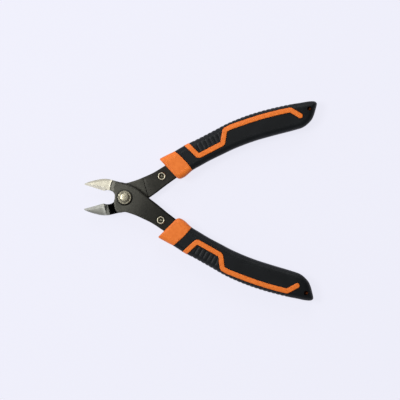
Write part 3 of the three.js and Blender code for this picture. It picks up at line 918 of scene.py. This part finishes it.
SPLINE_STEPS = 12
SILHOUETTE = smooth([*GRIP_OUTER, *GRIP_NOSE, *GRIP_INNER], SPLINE_STEPS)
COLLAR_CUT = (COLLAR_POINTS - 1) * SPLINE_STEPS
OUTER_LENGTH = (len(GRIP_OUTER) - 1) * SPLINE_STEPS


def bowed(start, end, bow):
    """A line from start to end that swells to one side in its middle."""
    t = np.linspace(0, 1, 20)[:, None]
    start, end = np.asarray(start, float), np.asarray(end, float)
    along = end - start
    across = np.array([-along[1], along[0]]) / np.linalg.norm(along)
    return start + along * t + across * bow * 4 * t * (1 - t)


def grip_drop(xy):
    """How far the rounded long edges and the thinned end lie under the flat face."""
    depth = distance_to(xy, SILHOUETTE) * np.where(inside(xy, SILHOUETTE), 1, -1)
    return fillet(depth, GRIP_EDGE_R) + 1.5 * ramp(xy[:, 0], 94, 106) ** 2


def carve_ribs(points):
    """Presses the rib valleys into the outer back edge and the thumb pad, square to the surface, and returns
    1 at every ribbed point."""
    outer = SILHOUETTE[COLLAR_CUT:OUTER_LENGTH + 1]
    xy = points[:, :2]
    depth, run, left = nearest(xy, outer)
    from_stripe = distance_to(xy, np.array(STRIPE_LINE)) - STRIPE_HALF_WIDTH
    x, y = xy.T
    pad = inside(xy, np.array(THUMB_PAD))
    sweep = (x > 56) & (depth < 3.4) & (y > np.interp(x, *np.array(STRIPE_LINE).T))
    ends = ramp(x, 39.2, 41.0) * ramp(-x, -93.5, -91.5)
    mask = (pad | sweep) * ends * ramp(from_stripe, GROOVE_GAP + 0.15, GROOVE_GAP + 0.6)
    valley = np.abs(np.cos(np.pi * run / RIB_PITCH)) ** 6
    push = (PAD_RIB_DEPTH + (RIB_DEPTH - PAD_RIB_DEPTH) * ramp(-depth, -2.4, -0.6)) * mask * valley
    lean = np.arcsin(np.clip(1 - depth / GRIP_EDGE_R, 0, 1))
    points[:, 0] -= push * np.sin(lean) * left[:, 0]
    points[:, 1] -= push * np.sin(lean) * left[:, 1]
    points[:, 2] -= push * np.cos(lean) * np.sign(points[:, 2])
    return mask


def grip_shell(side):
    """The black skin, with a groove round the stripe and another beside the collar."""
    outer = SILHOUETTE[COLLAR_CUT:-COLLAR_CUT]
    front_edge = bowed(outer[-1], outer[0], -COLLAR_BOW)
    outline = loop_of(OUTLINE_STEP, outer, front_edge)
    grooves = [stroke(STRIPE_LINE, STRIPE_HALF_WIDTH, GROOVE_GAP + w) for w in (0, WALL_RAMP)]
    creases = [closed(g) for g in grooves]
    creases += [closed(circle(GRIP_HOLE, GRIP_HOLE_R - w, 32)) for w in (0, WALL_RAMP)]
    seam = np.vstack([2 * front_edge[0] - front_edge[1], front_edge, 2 * front_edge[-1] - front_edge[-2]])
    creases += [seam + (shift, 0) for shift in (0.12, 0.19, 0.25, 0.36)]
    pad = np.column_stack([c.ravel() for c in np.meshgrid(np.arange(38, 93, 0.28), np.arange(11, 24, 0.3))])
    near = distance_to(pad, SILHOUETTE[COLLAR_CUT:OUTER_LENGTH + 1])
    pad = pad[(near > 0.9) & (((pad[:, 0] < 57) & (near < 8)) | (near < 3.2))]
    rings = (0.05, 0.18, 0.4, 0.75, 1.2, 1.75, 2.3, 2.8)
    xy, triangles = plan(outline, rings, creases=creases, grid=0.7, extra=[pad])
    half = GRIP_HALF - SHELL_SINK - grip_drop(xy)
    from_collar = distance_to(xy, front_edge)
    half -= fillet(from_collar - COLLAR_GAP[1], 0.2) + GROOVE_DEPTH * (1 - ramp(from_collar, *COLLAR_GAP))
    from_groove = outside_of(xy, grooves[0])
    half -= GROOVE_DEPTH * (1 - ramp(from_groove, 0, WALL_RAMP))
    from_hole = np.hypot(*(xy - GRIP_HOLE).T)
    half -= GRIP_HOLE_DEPTH * ramp(-from_hole, -GRIP_HOLE_R, -GRIP_HOLE_R + WALL_RAMP)
    points, faces = two_sided(xy, triangles, half, -half)
    ribbed = carve_ribs(points)
    edge = np.tile(np.exp(-np.abs(distance_to(xy, SILHOUETTE) - 1.4) / 0.8), 2)
    wear = np.clip(0.09 * edge + 0.07 * ribbed, 0, 1)
    obj = mesh_object(f"{side}_grip_shell_moulding", points, faces, side, {"wear": wear}, (BLACK,), sharp=40)
    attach(obj, f"{side}_half")
    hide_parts(f"{side}_grip_shell")


def collar_part():
    """The orange collar at the grip's front: points, faces and wear."""
    outer = SILHOUETTE[:COLLAR_CUT + 1]
    inner = SILHOUETTE[-COLLAR_CUT - 1:]
    rear_edge = bowed(outer[-1], inner[0], COLLAR_BOW)
    nose = rounded([inner[-1 - SPLINE_STEPS], inner[-1], outer[0], outer[SPLINE_STEPS]], COLLAR_CORNER_R)
    long_sides = loop_of(OUTLINE_STEP, outer[SPLINE_STEPS:], rear_edge, inner[:-SPLINE_STEPS])
    outline = np.vstack([long_sides, loop_of(OUTLINE_STEP / 2, nose)])
    front_edge = nose[1:-1]
    xy, triangles = plan(outline, (0.04, 0.15, 0.35, 0.7, 1.2, 1.8, 2.5))
    half = GRIP_HALF - fillet(np.minimum(distance_to(xy, outer), distance_to(xy, inner)), COLLAR_EDGE_R)
    half -= fillet(distance_to(xy, front_edge), 0.7)
    half -= fillet(distance_to(xy, rear_edge), 0.2)
    points, faces = two_sided(xy, triangles, half, -half)
    edge = distance_to(xy, closed(outline))
    return points, faces, np.tile(np.exp(-edge / 0.5), 2)


def stripe_part():
    """The raised orange stripe, which wraps over the grip's back edge: points, faces and wear."""
    outline = stroke(STRIPE_LINE, STRIPE_HALF_WIDTH)
    outside = ~inside(outline, SILHOUETTE)
    _, run, left = nearest(outline, SILHOUETTE)
    proud = 0.12
    lengths = np.concatenate([[0], np.cumsum(np.linalg.norm(np.diff(SILHOUETTE, axis=0), axis=1))])
    foot = np.column_stack([np.interp(run, lengths, SILHOUETTE[:, k]) for k in (0, 1)])
    outline = np.where(outside[:, None], foot + proud * left, outline)
    xy, triangles = plan(outline, (0.05, 0.15, 0.32, 0.6), grid=0.5)
    edge = distance_to(xy, closed(outline))
    wraps = distance_to(xy, SILHOUETTE) < 0.4
    half = GRIP_HALF - 0.02 - grip_drop(xy) - np.where(wraps, 0, fillet(edge, 0.3))
    points, faces = two_sided(xy, triangles, half, -half)
    return points, faces, np.tile(np.exp(-edge / 0.2), 2)


def hole_floor_part(face):
    """The small disc of core that shows at the bottom of the moulding hole."""
    points, faces = lathe(rounded([(0, -0.8), (0.95, -0.8), (0.95, 0.1), (0.4, 0.3), (0, 0.32)], 0.08), 32)
    half = GRIP_HALF - SHELL_SINK - GRIP_HOLE_DEPTH - grip_drop(np.array([GRIP_HOLE]))[0]
    if face < 0:
        points = points * (1, -1, -1)
    return points + (*GRIP_HOLE, face * half), faces, np.ones(len(points))


def grip_core(side):
    """The visible parts of the orange moulding, as one piece."""
    points, faces, wear, shade = [], [], [], []
    parts = ((collar_part(), 0), (stripe_part(), 0), (hole_floor_part(1), HOLE_SHADE),
             (hole_floor_part(-1), HOLE_SHADE))
    for (part_points, part_faces, part_wear), part_shade in parts:
        first = sum(len(p) for p in points)
        points.append(part_points)
        faces.extend(tuple(k + first for k in face) for face in part_faces)
        wear.append(part_wear)
        shade.append(np.full(len(part_points), part_shade))
    attributes = {"wear": np.concatenate(wear), "shade": np.concatenate(shade)}
    obj = mesh_object(f"{side}_grip_core_moulding", np.vstack(points), faces, side, attributes, (ORANGE,),
                      sharp=40)
    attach(obj, f"{side}_half")
    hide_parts(f"{side}_grip_core")


for half_name in ("front", "rear"):
    lever(half_name)
    tang_plate(half_name)
    shank_rivet(half_name)
    grip_shell(half_name)
    grip_core(half_name)
pivot_rivet()
spring()


# ---- floor, light and camera ----


def studio():
    """A plain pale floor, a sky that is palest near the horizon and dimmer on the right, and two lamps."""
    half_floor = 1.5
    corners = [(x * half_floor, y * half_floor, cad_low.z) for x, y in ((-1, -1), (1, -1), (1, 1), (-1, 1))]
    floor = mesh_object("floor", np.array(corners), [(0, 1, 2, 3)], None, None, (floor_paper("floor_paper"),))

    world = bpy.data.worlds.new("studio")
    world.use_nodes = True
    nodes, links = world.node_tree.nodes, world.node_tree.links
    place_in_sky = nodes.new("ShaderNodeTexCoord")
    split = nodes.new("ShaderNodeSeparateXYZ")
    sky = nodes.new("ShaderNodeValToRGB")
    side_fade = nodes.new("ShaderNodeMapRange")
    side_fade.inputs["From Min"].default_value, side_fade.inputs["From Max"].default_value = 0.1, 0.8
    side_fade.inputs["To Min"].default_value, side_fade.inputs["To Max"].default_value = 1.0, 0.2
    links.new(place_in_sky.outputs["Generated"], split.inputs[0])
    links.new(split.outputs["Z"], sky.inputs["Fac"])
    links.new(split.outputs["X"], side_fade.inputs["Value"])
    links.new(sky.outputs["Color"], nodes["Background"].inputs["Color"])
    links.new(side_fade.outputs["Result"], nodes["Background"].inputs["Strength"])
    horizon, overhead = sky.color_ramp.elements
    horizon.position, horizon.color = 0.06, (0.86, 0.86, 0.965, 1)
    overhead.position, overhead.color = 0.7, (0.14, 0.14, 0.15, 1)
    bpy.context.scene.world = world

    lamps = (("key", (-0.36, 0.07, 0.62), 0.22, 3.3), ("soft", (0.05, 0.55, 0.5), 0.4, 1.6))
    for name, spot, width, power in lamps:
        data = bpy.data.lights.new(name, "AREA")
        data.size = width
        data.energy = power
        lamp = bpy.data.objects.new(name, data)
        lamp.location = spot
        lamp.rotation_euler = (-Vector(spot)).to_track_quat("-Z", "Y").to_euler()
        bpy.context.scene.collection.objects.link(lamp)


def camera():
    """Straight over the tool, with the pivot a little left of the picture's middle and level with it."""
    view_width = 0.2
    pivot_from_left = 0.312
    pivot_from_top = 0.49375
    roll = math.radians(1.05)
    lens, sensor = 160, 36
    pivot = Vector(frame["joints"][0]["pos_m"])
    offset = Matrix.Rotation(roll, 2) @ Vector(((0.5 - pivot_from_left) * view_width,
                                                (pivot_from_top - 0.5) * view_width))
    data = bpy.data.cameras.new("camera")
    data.lens, data.sensor_width = lens, sensor
    data.clip_start, data.clip_end = 0.01, 10
    obj = bpy.data.objects.new("camera", data)
    obj.location = (pivot.x + offset.x, pivot.y + offset.y, pivot.z + view_width * lens / sensor)
    obj.rotation_euler = (0, 0, roll)
    bpy.context.scene.collection.objects.link(obj)
    bpy.context.scene.camera = obj


studio()
camera()
bpy.context.scene.view_settings.view_transform = "Standard"
